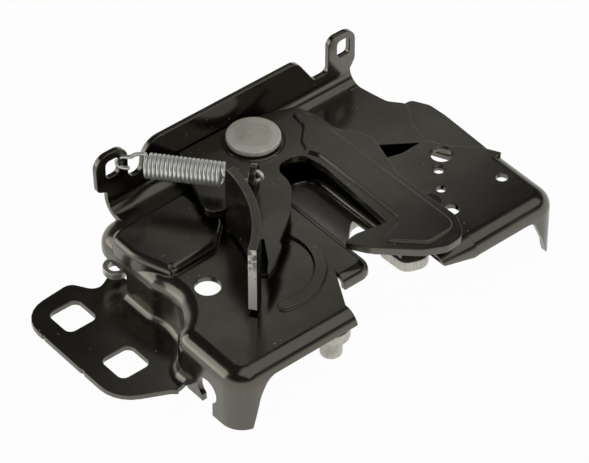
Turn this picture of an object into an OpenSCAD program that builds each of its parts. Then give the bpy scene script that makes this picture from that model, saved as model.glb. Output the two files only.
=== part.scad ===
// Bonnet latch: pressed body with an open striker throat, a sprung safety catch on top of it, and a
// fork and pawl under it. Lengths are millimetres. The body lies on its back as it stands on a bench:
// Z = 0 is the plane under its legs, the throat opens towards -Y, and the origin is on the axis of the
// throat's round end.

/* [Body] */
// thickness of the pressed sheet
sheet = 2.5; // [2:0.1:3]
// height of the panel's top face above the legs
panel_z = 28; // [27:0.1:30]
// outer radius of the skirt bends
bend = 7; // [6:0.1:7.5]
// outer radius of the throat lip bends
lip_bend = 4.7; // [4:0.1:5.2]
// height of the throat lips, top to bottom
lip_h = 5.7; // [5.2:0.1:6.2]
// clear width of the striker throat
throat_w = 13; // [11:0.1:14]
// distance from the throat's round end to the front edge of its lips
throat_depth = 51.5; // [49:0.5:54]
// outer face of the front skirt, in front of the throat's round end
front = 70; // [68:0.5:73]
// height of the front skirt above the legs
skirt_z = 22.5; // [22:0.1:24]
// outer face of the right wing
wing_x = 75; // [73:0.5:78]
// height of the left wall's free lower edge
left_wall_z = 18; // [17.5:0.1:20]
// radius of the round pocket between the lobe and the ear
pocket_r = 21; // [19:0.1:22]
// raise of the wing's front facet over the panel
wing_raise = 2; // [1:0.1:2.2]
// drop of the low right-hand flange under the panel
flange_drop = 2; // [1:0.1:2.2]
// raise of the left pad over the panel
pad_raise = 4; // [3:0.1:5]
// raise of the curved bead
bead_raise = 1.2; // [0.8:0.1:1.4]
// width of the curved bead
bead_w = 5; // [4:0.1:6]

/* [Back wall and tabs] */
// front face of the back wall, behind the throat's round end
back = 39.8; // [39:0.1:42]
// inner radius of the bend at the foot of the wall
back_bend = 6; // [4:0.1:6.5]
// height of the wall above the panel
wall_h = 23.6; // [20:0.1:26]
// height of the two tabs above the panel
tab_h = 28; // [27:0.1:31]
// width and height of the window in each tab
window = [6.4, 8.6]; // [5:0.1:9]

/* [Ear] */
// height of the ear's top face
ear_z = 6; // [5:0.1:7]
// concave radius between the pocket wall and the ear
ear_bend = 4; // [3:0.1:5]
// side of the square holes
ear_hole = 14.2; // [9:0.1:15]
// corner radius of the square holes
ear_hole_r = 3; // [1:0.1:4]
// distance between the square holes
ear_pitch = 33.7; // [30:0.1:38]

/* [Holes] */
// panel hole in the left lobe
lobe_hole = 10.5; // [6:0.1:14]
// fixing hole in the wing
wing_hole = 8.5; // [6:0.1:11]
// the two small locating holes in the wing
pin_hole = 4; // [3:0.1:6]
// hole near the wing's right edge
edge_hole = 4.8; // [3:0.1:7]
// cable notch in the lobe's left flange
notch_d = 11; // [8:0.1:13]
// width of the notch's open mouth
notch_mouth = 6; // [4:0.1:7.5]

/* [Safety catch] */
// thickness of the catch plate
catch_t = 3.5; // [3:0.1:4]
// clear height between panel and catch
catch_gap = 7; // [6.5:0.1:8]
// height of the paddle over the catch's top face
paddle_h = 22.5; // [18:0.1:26]
// raise of the stiffening panel on the arm
emboss = 1.2; // [0.6:0.1:1.6]
// diameter of the pivot rivet's head
rivet_head = 22.4; // [20:0.1:24]
// thickness of the pivot rivet's head
rivet_head_t = 2.4; // [1.5:0.1:3]
// shank of the pivot rivet
rivet_d = 10; // [8:0.1:11]
// wall of the pivot bush
bush_wall = 2; // [1.5:0.1:3]

/* [Catch spring] */
// wire diameter
wire = 1.7; // [1.2:0.1:2]
// outside diameter of the coils
spring_od = 10.6; // [9:0.1:11]
// number of closed coils
coils = 19; // [12:1:19]

/* [Fork and pawl] */
// thickness of fork and pawl
plate_t = 5; // [4:0.1:5]
// gap between panel and fork
fork_gap = 4; // [4:0.1:4.5]
// shank of the fork and pawl rivets
pivot_d = 9; // [7:0.1:10]
// bush wall of the fork and pawl pivots
pivot_wall = 1.6; // [1.2:0.1:2]
// radius of the fork's latching arc
cam_r = 34; // [32:0.1:34.5]
// width of the fork's slot for the striker
fork_slot = 13; // [11:0.1:13.5]
// thickness of the release lever
lever_t = 3.3; // [2.5:0.1:3.5]
// bore of the cable eye
eye_d = 6.2; // [4:0.1:7]
// ring width of the cable eye
eye_ring = 2.1; // [1.5:0.1:2.5]
// diameter of the stud under the pawl
stud_d = 9; // [7:0.1:11]

/* [Fits] */
// running clearance of a bush in its plate, on the radius
run_fit = 0.05; // [0.02:0.01:0.1]
// side play of a moving plate
side_play = 0.1; // [0.05:0.05:0.2]
// gap between two moving pieces that pass each other
pass_gap = 0.4; // [0.3:0.1:0.8]

/* [Hidden] */
$fn = 48;
eps = 0.01;
lap = 1.5;                                      // flat strip each bend carries into its panel
throat_r = throat_w / 2;
under_z = panel_z - sheet;
wing_z = panel_z + wing_raise;
pocket = [-98, -11.5];
fillet = bend + 2;
// the pocket runs between these two directions, where tangent fillets carry it into the straight walls
way_a = [0.936, 0.352];
way_b = [0.5376, -0.8432];
fillet_a = pocket + (pocket_r + fillet) * way_a;
fillet_b = pocket + (pocket_r + fillet) * way_b;
left_x = fillet - fillet_a.x;                   // outer face of the left wall
lobe_x = fillet - fillet_b.x;                   // outer face of the left lobe
wall_end = 14;                                  // the left wall is free behind this line
lobe_corner = bend + 3;
rivet_at = [-4.3, back - 14];
catch_z = panel_z + catch_gap;
catch_top = catch_z + catch_t;
bush_od = rivet_d + 2 * bush_wall;
fork_at = [24, -14];
pawl_at = [-42, -25];
bead_at = [-43, -25];
bead_r = 23.7;
lip_x = -22;                                    // left end of the lip in front of the lobe
plate_top = under_z - fork_gap;
plate_z = plate_top - plate_t;
pivot_od = pivot_d + 2 * pivot_wall;
fork_bush_z = plate_z - 6;
lever_z = plate_z - lever_t;
pawl_bush_z = lever_z - 5;
eye_at = [-77.6, 22.4];
stud_at = [-38, -62];
stop_at = [31.3, -41];
tab_l = [-72.5, -56.5];                         // left tab, side to side
tab_r = [47.2, 61.5];                            // right tab, side to side
window_l = [(tab_l[0] + tab_l[1]) / 2 + 0.3, panel_z + 20];
window_r = [(tab_r[0] + tab_r[1]) / 2 + 0.7, panel_z + 18.7];
hook_a = [window_l.x + window.x / 2 + 2.4, back - 1, panel_z + 20.4];   // spring end at the tab
hook_b = [-25.9, -0.7, panel_z + 20.4];                                  // spring end at the lug
pull = hook_b - hook_a;
pull_a = atan2(pull.y, pull.x);
coil_l = coils * wire;
lug_hole = wire + 4.3;

// unit vector at an angle
function dir(a) = [cos(a), sin(a)];
function unit(v) = v / norm(v);
function xy(p) = [p.x, p.y];
function polar(c, r, a) = c + r * dir(a);
function polar3(c, r, a, f = 0) = let (p = polar(c, r, a)) [p.x, p.y, f];

// one corner [x, y, radius] of an outline, as the points of its arc
function corner(a, b, c) =
    let (u = unit(xy(a) - xy(b)), w = unit(xy(c) - xy(b)), half = acos(u * w) / 2, r = b[2],
         o = xy(b) + unit(u + w) * r / sin(half), p = xy(b) + u * r / tan(half) - o,
         q = xy(b) + w * r / tan(half) - o, a0 = atan2(p.y, p.x), a1 = atan2(q.y, q.x),
         sweep = (a1 - a0 + 540) % 360 - 180, n = ceil(abs(sweep) / 15))
    r == 0 ? [xy(b)] : [for (i = [0:n]) o + r * dir(a0 + sweep * i / n)];

// a closed outline from its corners
function outline(pts) = let (n = len(pts))
    [for (i = [0:n - 1]) each corner(pts[(i + n - 1) % n], pts[i], pts[(i + 1) % n])];

// the same corners moved inwards, for a convex outline
function inset(pts, d) = let (n = len(pts))
    [for (i = [0:n - 1])
        let (b = pts[i], u = unit(xy(pts[(i + n - 1) % n]) - xy(b)), w = unit(xy(pts[(i + 1) % n]) - xy(b)),
             half = acos(u * w) / 2, m = xy(b) + unit(u + w) * d / sin(half))
        [m.x, m.y, max(b[2] - d, 0.5)]];

module plate(pts, z, t) {
    translate([0, 0, z]) linear_extrude(t) polygon(outline(pts));
}

module disc(at, z, h, d) {
    translate([at.x, at.y, z]) cylinder(h = h, d = d);
}

module ring(at, z, h, od, id) {
    difference() {
        disc(at, z, h, od);
        disc(at, z - 1, h + 2, id);
    }
}

// cross-section of a turned-down edge: its outer face is at x = 0, the panel lies towards -x
module edge_section(top, depth, r) {
    translate([-r - lap, top - sheet]) square([lap, sheet]);
    intersection() {
        translate([-r, top - r]) difference() {
            circle(r);
            circle(r - sheet);
        }
        translate([-r, top - r]) square(r);
    }
    translate([-sheet, top - depth]) square([sheet, depth - r]);
}

// the same edge carried on into the ear: a second bend turns it outwards again
module joggle_section() {
    foot = ear_z + ear_bend;
    edge_section(panel_z, panel_z - foot, bend);
    intersection() {
        translate([ear_bend, foot]) difference() {
            circle(ear_bend + sheet);
            circle(ear_bend);
        }
        translate([-sheet, ear_z - sheet]) square(ear_bend + sheet);
    }
    translate([ear_bend, ear_z - sheet]) square([lap, sheet]);
}

// sweep a cross-section along runs of [length] and [radius, turn], panel on the left of the path
module sweep_edge(path, at, heading, i = 0) {
    if (i < len(path)) {
        s = path[i];
        turn = len(s) > 1 ? s[1] : 0;
        side = turn < 0 ? heading - 90 : heading + 90;
        c = at + s[0] * dir(side);
        next = turn == 0 ? at + s[0] * dir(heading) : c + s[0] * dir(side + 180 + turn);
        if (turn == 0)
            translate([next.x, next.y, 0]) rotate([0, 0, heading - 90]) rotate([90, 0, 0])
                linear_extrude(s[0]) children();
        else if (turn > 0)
            translate([c.x, c.y, 0]) rotate([0, 0, heading - 90])
                rotate_extrude(angle = turn) translate([s[0], 0]) children();
        else
            translate([c.x, c.y, 0]) rotate([0, 0, heading + 90 + turn])
                rotate_extrude(angle = -turn) translate([s[0], 0]) mirror([1, 0]) children();
        sweep_edge(path, next, heading + turn, i + 1) children();
    }
}

// flat of the panel: lobe, hub and back facet, up to the strips of the bends around it
module panel_flat() {
    in = bend + lap / 2;
    lip_in = lip_bend + lap / 2;
    translate([0, 0, under_z]) linear_extrude(sheet) difference() {
        polygon(outline([
            [59, back - back_bend - lap / 2, 0], [-67, back - back_bend - lap / 2, 0],
            [-67, back - 3 - in, 0], [-left_x + in, back - 12, 0], [-left_x + in, fillet_a.y - 1.5, 0],
            [-lobe_x + in, fillet_b.y + 2, 0], [-lobe_x + in, -front + lobe_corner, 0],
            [-lobe_x + lobe_corner, -front + in, 0], [-31, -front + in, 0],
            [lip_x, -throat_depth + lip_in, 0], [-throat_r * 2, -throat_depth + lip_in, 0],
            [-throat_r - lip_in, -throat_depth + throat_r, 0], [-throat_r - lip_in, 0, 0],
            [throat_r + lip_in, 0, 0], [throat_r + lip_in, -front + throat_r, 0],
            [throat_r * 2, -front + lip_in, 0], [31, -front + lip_in, 0], [31, -26, 0],
            [34, -24, 0], [34, -13.5, 0], [58, -13.5, 0], [57.2, -7, 6], [61, 4, 8], [67, 13, 3], [61.5, 19.5, 5],
            [60, 27, 3]]));
        translate(pocket) circle(pocket_r + in);
        circle(throat_r + lip_in);
    }
}

// raised front facet of the wing, the riser behind it and the low flange on its right
module wing_flat() {
    in = bend + lap / 2;
    step = [[56, -10.5, 0], [61, -19.5, 6], [70, -28.5, 4], [wing_x - 1, -36, 0]];
    plate(concat([[31, -10.8, 0], [31, -24, 0], [28, -26, 0], [28, -front + in, 0], [wing_x - 10, -front + in, 0],
        [wing_x - in, -front + 10, 0], [wing_x - in, -36.5, 0]], [for (i = [3:-1:0]) step[i]]),
        wing_z - sheet, sheet);
    low = panel_z - flange_drop;
    plate(concat(step, [for (i = [3:-1:0]) step[i] - [1.4, 1, 0]]), low - sheet, wing_z - low + sheet);
    plate([[66, 15.5, 3], [71, 15.5, 3], [75, 8, 5], [75.5, -1, 6], [74.6, -24, 6],
        [wing_x - 1.2, -35.5, 0], [69, -30, 0], [59, -20.5, 0], [54.5, -11, 0], [57.5, -1, 0],
        [60.5, 5, 0]], low - sheet, sheet);
}

// raised pad between the left wall and the catch: a hollow pressing with upright sides
module pad(solid) {
    pts = [[-69, 26, 5], [-39.5, 27, 4], [-38, 4, 4], [-49.5, -6.4, 4], [-71.4, -7.4, 3], [-76.4, 7.5, 4],
        [-76, 14, 5]];
    if (solid) plate(pts, under_z, sheet + pad_raise);
    else plate(inset(pts, sheet), under_z - 1, pad_raise + 1);
}

// curved bead on the lobe, beside the pawl's pivot; a narrower one cuts the groove under it
module bead(z, w, h) {
    from = [-0.28, -0.96];
    to = [0.96, 0.28];
    translate([bead_at.x, bead_at.y, z]) {
        intersection() {
            rotate_extrude() translate([bead_r - w / 2, 0]) square([w, h]);
            translate([0, 0, -1]) linear_extrude(h + 2)
                polygon([[0, 0], 50 * from, 50 * (from + to), 50 * to]);
        }
        for (a = [from, to]) translate(bead_r * a) cylinder(h = h, d = w);
    }
}

// back wall with its two tabs, the bend at its foot and the notches between them
module back_wall() {
    foot = panel_z + back_bend;
    top = panel_z + wall_h;
    tab = panel_z + tab_h;
    gap = panel_z + 10.5;
    difference() {
        translate([0, back + sheet, 0]) rotate([90, 0, 0]) linear_extrude(sheet) polygon(outline([
            [-67.2, foot, 0], [-67.2, foot + 3, 2], [tab_l[0] + 0.6, foot + 5, 2.5], [tab_l[0], tab, 6],
            [tab_l[1], tab, 6], [tab_l[1], gap, 3.2], [-49.8, gap, 3.2], [-48.6, top, 9], [30.5, top, 6],
            [39.6, gap - 0.8, 3], [tab_r[0], gap - 0.8, 2.5], [tab_r[0], tab - 1.6, 4], [tab_r[1], tab - 1.6, 6],
            [tab_r[1], foot + 4, 4], [59, foot, 0]]));
        for (w = [window_l, window_r]) translate([0, back + sheet + 1, 0]) rotate([90, 0, 0])
            linear_extrude(sheet + 2) polygon(outline([for (s = [[-1, -1], [1, -1], [1, 1], [-1, 1]])
                [w.x + s.x * window.x / 2, w.y + s.y * window.y / 2, 2]]));
    }
    r = back_bend + sheet;
    translate([-67.2, back - back_bend, foot]) rotate([90, 0, 90]) linear_extrude(59 + 67.2) {
        intersection() {
            difference() {
                circle(r);
                circle(back_bend);
            }
            translate([0, -r]) square(r);
        }
        translate([-lap, -r]) square([lap, sheet]);
    }
}

// part of a swept ring between two directions from its centre
module edge_arc(c, from, to, reach = 2 * (pocket_r + bend), top = panel_z) {
    translate([c.x, c.y, 0]) intersection() {
        rotate_extrude() children();
        translate([0, 0, -1]) linear_extrude(top + 2)
            polygon([[0, 0], reach * from, reach * (from + to), reach * to]);
    }
}

// turned-down edges; the lower contour of each is cut out of a full-depth edge
module left_edges() {
    sweep_edge([[1], [11, 90], [back - 14 - wall_end]], [-left_x + 12, back - 3], 180)
        edge_section(panel_z, panel_z - left_wall_z, bend);
    sweep_edge([[wall_end - fillet_a.y]], [-left_x, wall_end], -90) joggle_section();
    edge_arc(fillet_a, [-1, 0], -way_a) translate([fillet, 0]) joggle_section();
    edge_arc(pocket, way_a, way_b) translate([pocket_r, 0]) mirror([1, 0]) joggle_section();
    edge_arc(fillet_b, -way_b, [-1, 0]) translate([fillet, 0]) joggle_section();
    sweep_edge([[2]], [-lobe_x, fillet_b.y], -90) joggle_section();
}

module lobe_edges() {
    start = fillet_b.y - 2;
    difference() {
        sweep_edge([[front - lobe_corner + start], [lobe_corner, 90], [lobe_x - lobe_corner - 31]],
            [-lobe_x, start], -90) edge_section(panel_z, panel_z, bend);
        // under the front skirt, up to the leg
        translate([0, -front + sheet + bend, 0]) rotate([90, 0, 0]) linear_extrude(sheet + bend + 5)
            polygon(outline([[-lobe_x + 7.5, -1, 0], [-lobe_x + 11.5, 15, 8], [-lobe_x + 15.5, skirt_z, 6],
                [-20, skirt_z, 0], [-20, -1, 0]]));
        // beside the ear and round the leg's foot
        translate([-lobe_x - 5, 0, 0]) rotate([90, 0, 90]) linear_extrude(bend + 8) polygon(outline([
            [-50, -1, 0], [-48, ear_z - sheet, 1], [-30, ear_z - sheet, 0], [-30, -1, 0]]));
        // cable notch
        translate([-lobe_x - 5, -51, 11]) rotate([0, 90, 0]) cylinder(h = bend + 4, d = notch_d);
        translate([-lobe_x - 5, -51 - notch_mouth / 2, -1]) cube([bend + 4, notch_mouth, 12]);
    }
}

module throat_lips() {
    sweep_edge([[-throat_w - lip_x], [throat_r, 90], [throat_depth - throat_r], [throat_r, -180],
        [front - throat_r], [throat_r, 90], [18]], [lip_x, -throat_depth], 0)
        edge_section(panel_z, lip_h, lip_bend);
}

module wing_edges() {
    difference() {
        sweep_edge([[wing_x - 10 - 28], [10, 90], [front - 10 - 36]], [28, -front], 0)
            edge_section(wing_z, wing_z, bend);
        // under the front skirt and the right edge, up to the leg
        translate([0, -front + sheet + bend, 0]) rotate([90, 0, 0]) linear_extrude(sheet + bend + 5)
            polygon(outline([[10, -1, 0], [10, wing_z + 1, 0], [28.5, skirt_z, 3],
                [wing_x - 14, skirt_z, 5], [wing_x - 8, 9, 8], [wing_x - 4, -1, 0]]));
        translate([wing_x - bend - 5, 0, 0]) rotate([90, 0, 90]) linear_extrude(bend + 10) polygon(outline([
            [-front + 7, -1, 0], [-front + 11, 14, 8], [-front + 17, skirt_z, 6], [-20, skirt_z, 0],
            [-20, -1, 0]]));
    }
}

module ear() {
    in = ear_bend + lap / 2;
    translate([0, 0, ear_z - sheet]) linear_extrude(sheet) difference() {
        union() {
            polygon(outline([[-78, 27.4, 1], [-85.2, 25, 5], [-91.4, 35.2, 5], [-117.5, 33.2, 13],
                [-117.5, 18.4, 0], [-116.9, 17.8, 0], [-117.4, 16.8, 0], [-117.6, -6, 0], [-117, -7.4, 0],
                [-117.5, -9, 0], [-117.5, -28, 16], [-98, -37.7, 6], [-lobe_x - in, -39.8, 0],
                [-lobe_x - in, fillet_b.y, 0], polar3(fillet_b, fillet + in, 151),
                [(pocket + (pocket_r - in) * way_b).x, (pocket + (pocket_r - in) * way_b).y, 0],
                [(pocket + (pocket_r - in) * way_a).x, (pocket + (pocket_r - in) * way_a).y, 0],
                [-left_x - in, fillet_a.y, 0], [-left_x - in, wall_end, 0], [-78, wall_end + 0.5, 0]]));
            translate(pocket) circle(pocket_r - in);
        }
        for (y = [-14.4, -14.4 + ear_pitch]) polygon(outline([for (s = [[-1, -1], [1, -1], [1, 1], [-1, 1]])
            [-101.7 + s.x * ear_hole / 2, y + s.y * ear_hole / 2, ear_hole_r]]));
    }
}

module base_plate() color([0.12, 0.12, 0.11]) {
    difference() {
        union() {
            panel_flat();
            wing_flat();
            pad(true);
            bead(panel_z - 0.5, bead_w, bead_raise + 0.5);
            back_wall();
            left_edges();
            lobe_edges();
            throat_lips();
            wing_edges();
            ear();
        }
        pad(false);
        bead(under_z - 1, bead_w - 2, bead_raise + 1);
        disc(rivet_at, under_z - 1, sheet + 2, rivet_d);
        disc(fork_at, under_z - 1, sheet + 2, pivot_d);
        disc(pawl_at, under_z - 1, sheet + 2, pivot_d);
        disc(stop_at, under_z - 1, wing_z, pivot_d - 3);
        disc([-65, -20], under_z - 1, sheet + 2, lobe_hole);
        disc([54.7, -21.4], under_z, wing_z, wing_hole);
        disc([47.6, -27.8], under_z, wing_z, pin_hole);
        disc([40.5, -37.1], under_z, wing_z, pin_hole);
        disc([63.8, -47.4], under_z, wing_z, edge_hole);
        disc([35.6, -48.9], under_z, wing_z, pin_hole + 2);
    }
}

// catch: the paddle is a curved blade on the left edge of the plate
fold = catch_t + 2.5;                           // reach of the fillet between paddle and plate
paddle_at = [-97.5, 4.5];
paddle_r = 58;                                  // radius of its hollow face
paddle_a = -4.35;
paddle_b = -24;                                 // the fillet ends here
paddle_c = -53.1;
paddle_low = catch_z - 5;
paddle_top = catch_top + paddle_h;
function on_paddle(r, a, f = 0) = polar3(paddle_at, r, a, f);

module catch_plate() {
    edge = paddle_r + fold + 0.7;
    slot = on_paddle(paddle_r, paddle_a);
    plate([[-32, back - pass_gap, 1.5], [-38, 24, 12], [-41.8, 14, 12], [-45.5, 4, 3.5],
        [slot.x - 0.4, slot.y + 1.2, 0.8], [on_paddle(edge, paddle_a).x, slot.y + 1.2, 0],
        on_paddle(edge, (paddle_a + paddle_b) / 2), on_paddle(edge, paddle_b), [-45.5, -33, 3],
        [-51.6, -39.4, 0.6], [-45, -36.4, 1.5], [-35.6, -29.6, 0], [-34.6, -27, 0.6], [-20.6, -17.1, 12],
        [-9, -4, 14], [-8, 8.4, 6], [4.8, 8.4, 6], [7.6, -4, 14], [4.8, -45.3, 1.2], [-9.6, -42.4, 10],
        [-15.6, -43.6, 0.6], [-10, -52.6, 14], [4.8, -66.6, 16], [13.4, -71, 6], [23, -70.4, 8],
        [28, -60, 8], [27, -26, 10], [34, -3.6, 4.5], [31.8, 3, 5], [26, 11.6, 6], [25.6, 22, 12],
        [22.5, 31.5, 4], [8.3, 36.1, 10], [-4.3, rivet_at.y + 13.4, 20]], catch_z, catch_t);
}

module paddle() {
    reach = 2 * paddle_r;
    difference() {
        edge_arc(paddle_at, dir(paddle_c), dir(paddle_a), reach, paddle_top)
            translate([paddle_r, paddle_low]) square([catch_t, paddle_top - paddle_low]);
        // rounded corners of its back end
        translate(paddle_at) rotate([0, 0, paddle_a]) translate([paddle_r - 2, 0, 0]) rotate([90, 0, 90])
            linear_extrude(catch_t + 4) for (c = [[paddle_low, 4, 1], [paddle_top, 3, -1]])
                translate([-c[1], c[0] + c[1] * c[2]]) difference() {
                    translate([0, c[2] > 0 ? -c[1] - 1 : 0]) square(c[1] + 1);
                    circle(c[1] * 1.08);
                }
    }
    edge_arc(paddle_at, dir(paddle_b), dir(paddle_a), reach, paddle_top) {
        difference() {
            translate([paddle_r + catch_t / 2, catch_z]) square([fold - catch_t / 2, fold]);
            translate([paddle_r + fold, catch_top + 2.8]) circle(2.8);
        }
        translate([paddle_r + fold, catch_z]) square([1.5, catch_t]);
    }
}

// upright lug with the hole for the spring's end hook, square to the spring
module lug(solid) {
    translate([hook_b.x, hook_b.y, 0]) rotate([0, 0, pull_a]) {
        if (solid) {
            translate([-1.4, -5.5, catch_z + 0.5]) cube([2.8, 11, hook_b.z + 0.2 - catch_z]);
            translate([-1.4, 0, hook_b.z + 0.7]) rotate([0, 90, 0]) cylinder(h = 2.8, d = 11);
        }
        else translate([-5, 0, hook_b.z + 0.7]) rotate([0, 90, 0]) cylinder(h = 10, d = lug_hole);
    }
}

module safety_catch() color([0.14, 0.14, 0.12]) {
    difference() {
        union() {
            catch_plate();
            paddle();
            lug(true);
            plate([[20.5, 28.5, 1.5], [23.6, 22, 6], [24.3, -64.8, 6], [9, -65.4, 5], [-4.6, -52.4, 2],
                [9.4, -48.3, 5], [9.8, 1.5, 5], [7.4, 6.5, 2.5], [9.6, 12.8, 4], [16.6, 19.6, 5],
                [17.6, 27.4, 1.5]], catch_top - 0.5, emboss + 0.5);
        }
        disc(rivet_at, catch_z - 1, catch_t + 4, bush_od + 2 * run_fit);
        lug(false);
        // groove coined round the rivet's head
        ring(rivet_at, catch_top - 0.4, 1, rivet_head + 3, rivet_head + 1.6);
        // window the lug is lanced from
        translate([hook_b.x, hook_b.y, catch_z - 1]) rotate([0, 0, pull_a]) translate([-10.2, -2.2, 0])
            cube([7.6, 7.4, catch_t + 2]);
    }
}

module catch_rivet() color([0.7, 0.68, 0.64]) {
    head_z = catch_top + side_play + 0.8;
    disc(rivet_at, head_z, rivet_head_t, rivet_head);
    disc(rivet_at, under_z - eps, head_z - under_z + 2 * eps, rivet_d);
    disc(rivet_at, under_z - 3, 3, rivet_d + 6);
}

// sleeve with a flange that carries the catch clear of the panel
module catch_bush() color([0.6, 0.58, 0.5]) {
    difference() {
        union() {
            disc(rivet_at, panel_z, catch_gap - side_play, bush_od + 4);
            disc(rivet_at, panel_z, catch_top + side_play - panel_z, bush_od);
        }
        disc(rivet_at, panel_z - 1, catch_top, rivet_d);
    }
}

module catch_washer() color([0.65, 0.64, 0.6]) {
    ring(rivet_at, catch_top + side_play, 0.8, rivet_head - 2, rivet_d);
}

// close-coiled extension spring, drawn along Z and laid between its two hooks
module catch_spring() color([0.66, 0.66, 0.63]) {
    r = (spring_od - wire) / 2;
    span = norm(pull);
    start = (span - coil_l) / 2 - 1.8;
    translate(hook_a) rotate([0, 0, pull_a]) rotate([0, 90, 0]) {
        rotate_extrude() {
            for (i = [0:coils - 1]) translate([r, start + (i + 0.5) * wire]) circle(d = wire);
            translate([r - wire / 4, start + wire / 2]) square([wire / 2, coil_l - wire]);
        }
        // straight ends of the hooks, at the top of the coils and through the lug
        translate([-r, 0, -1.6]) cylinder(h = start + 2.4, d = wire);
        translate([0.6, 0, start + coil_l - 2]) cylinder(h = span - start - coil_l + 6, d = wire);
        translate([0.6, 0, start + coil_l - 0.9]) rotate([0, -90, 0]) cylinder(h = r + 0.6, d = wire);
    }
}

// fork, drawn open: latching arc, notch, upper jaw, striker slot and lower jaw round its pivot
function fork_p(r, a, f = 0) = polar3(fork_at, r, a, f);
module fork() color([0.74, 0.73, 0.7]) {
    slot_a = 224;
    slot_r = pivot_od / 2 + fork_slot / 2 + 8;
    slot = polar(fork_at, slot_r, slot_a);
    difference() {
        union() {
            disc(fork_at, plate_z, plate_t, pivot_od + 14);
            intersection() {
                plate([fork_p(8, 40), fork_p(42, 116), fork_p(48, 142), fork_p(42, 166), fork_p(30, 171, 1),
                    fork_p(29.5, 182, 2), fork_p(8, 250)], plate_z, plate_t);
                disc(fork_at, plate_z - 1, plate_t + 2, 2 * cam_r);
            }
            plate([fork_p(9, 90), fork_p(29, 178), fork_p(cam_r + 2, 184, 3), fork_p(cam_r + 2, 214, 2),
                fork_p(slot_r - 6, slot_a), fork_p(33, 236, 3), fork_p(44, 246, 5), fork_p(45, 262, 6),
                fork_p(20, 278, 12), fork_p(9, 330)], plate_z, plate_t);
        }
        disc(fork_at, plate_z - 1, plate_t + 2, pivot_od + 2 * run_fit);
        disc(slot, plate_z - 1, plate_t + 2, fork_slot);
        translate([slot.x, slot.y, plate_z - 1]) rotate([0, 0, slot_a]) translate([0, -fork_slot / 2, 0])
            cube([40, fork_slot, plate_t + 2]);
    }
}

// shouldered rivet through panel, spacer, bush and washer
module pivot_rivet(at, bush_z) {
    disc(at, panel_z, 1.2, pivot_d + 2.6);
    disc(at, bush_z - 1 - eps, panel_z - bush_z + 1 + 2 * eps, pivot_d);
    disc(at, bush_z - 3.4, 2.4, pivot_d + 4);
}

module pivot_spacer(at) {
    ring(at, plate_top + side_play, fork_gap - side_play, pivot_od + 4, pivot_d);
}

module pivot_bush(at, bush_z) {
    ring(at, bush_z, plate_top + side_play - bush_z, pivot_od, pivot_d);
}

module pivot_washer(at, bush_z) {
    ring(at, bush_z - 1, 1, pivot_od + 4, pivot_d);
}

// torsion spring: two coils round a bush and two straight legs
module torsion_spring(at, z, leg_a, leg_b, reach_a, reach_b) {
    r = pivot_od / 2 + 0.5 + wire / 2;
    translate([at.x, at.y, z]) {
        rotate_extrude() for (i = [0, 1]) translate([r, wire * (0.5 + 0.96 * i)]) circle(d = wire);
        rotate([0, 0, leg_a]) translate([0, r, wire / 2]) rotate([0, 90, 0])
            cylinder(h = reach_a, d = wire);
        rotate([0, 0, leg_b]) translate([0, r, wire * 1.46]) rotate([0, 90, 0])
            cylinder(h = reach_b, d = wire);
    }
}

module fork_rivet() color([0.7, 0.68, 0.64]) pivot_rivet(fork_at, fork_bush_z);
module fork_spacer() color([0.6, 0.58, 0.5]) pivot_spacer(fork_at);
module fork_bush() color([0.6, 0.58, 0.5]) pivot_bush(fork_at, fork_bush_z);
module fork_washer() color([0.65, 0.64, 0.6]) pivot_washer(fork_at, fork_bush_z);
module fork_spring() color([0.62, 0.62, 0.6]) torsion_spring(fork_at, plate_z - 4.2, 150, 300, 16, 17);

// stud under the wing that stops the open fork, with its rubber sleeve
module fork_stop() color([0.7, 0.68, 0.64]) {
    disc(stop_at, plate_z - 1.5, wing_z - plate_z + 1.5, pivot_d - 3);
    disc(stop_at, wing_z, 1.5, pivot_d);
    disc(stop_at, plate_z - 3, 1.5, pivot_d);
}

module fork_buffer() color([0.06, 0.06, 0.06]) {
    ring(stop_at, plate_z - 1.5, plate_t + 3, pivot_d + 3, pivot_d - 3);
}

// pawl: nose outside the fork's latching arc, front arm with the stud
module pawl() color([0.74, 0.73, 0.7]) {
    difference() {
        union() {
            disc(pawl_at, plate_z, plate_t, pivot_od + 10);
            plate([[-36, -35, 2], [-26, -27, 4], [4, 13, 0], [2.4, 17, 1.5], [-4, 20.5, 2], [-51, -18, 2]],
                plate_z, plate_t);
            plate([[-51.5, -28, 3], [-45.4, -62, 0], [-30.6, -62, 0], [-33, -36, 4], [-37, -22, 0],
                [-47, -20, 0]], plate_z, plate_t);
            disc(stud_at, plate_z, plate_t, stud_d + 6);
        }
        disc(fork_at, plate_z - 1, plate_t + 2, 2 * (cam_r + 2 + pass_gap));
        disc(pawl_at, plate_z - 1, plate_t + 2, pivot_od + 2 * run_fit);
        disc(stud_at, plate_z - 1, plate_t + 2, stud_d - 3);
    }
}

// lever under the pawl with the eye for the release cable
module release_lever() color([0.76, 0.75, 0.72]) {
    difference() {
        union() {
            disc(pawl_at, lever_z, lever_t, pivot_od + 8);
            plate([[-51.4, -24, 0], [-47.5, 4, 12], [-62, 17.8, 8], [-77.4, 19.9, 0], [-77.4, 26.4, 0],
                [-57, 26.4, 8], [-36.5, 8, 14], [-33, -23, 0]], lever_z, lever_t);
            disc(eye_at, lever_z, lever_t, eye_d + 2 * eye_ring);
        }
        disc(pawl_at, lever_z - 1, lever_t + 2, pivot_od + 2 * run_fit);
        disc(eye_at, lever_z - 1, lever_t + 2, eye_d);
    }
}

module pawl_stud() color([0.78, 0.77, 0.74]) {
    disc(stud_at, plate_z - 9.5, 9.5, stud_d);
    disc(stud_at, plate_z - eps, plate_t + 2 * eps, stud_d - 3);
}

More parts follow.
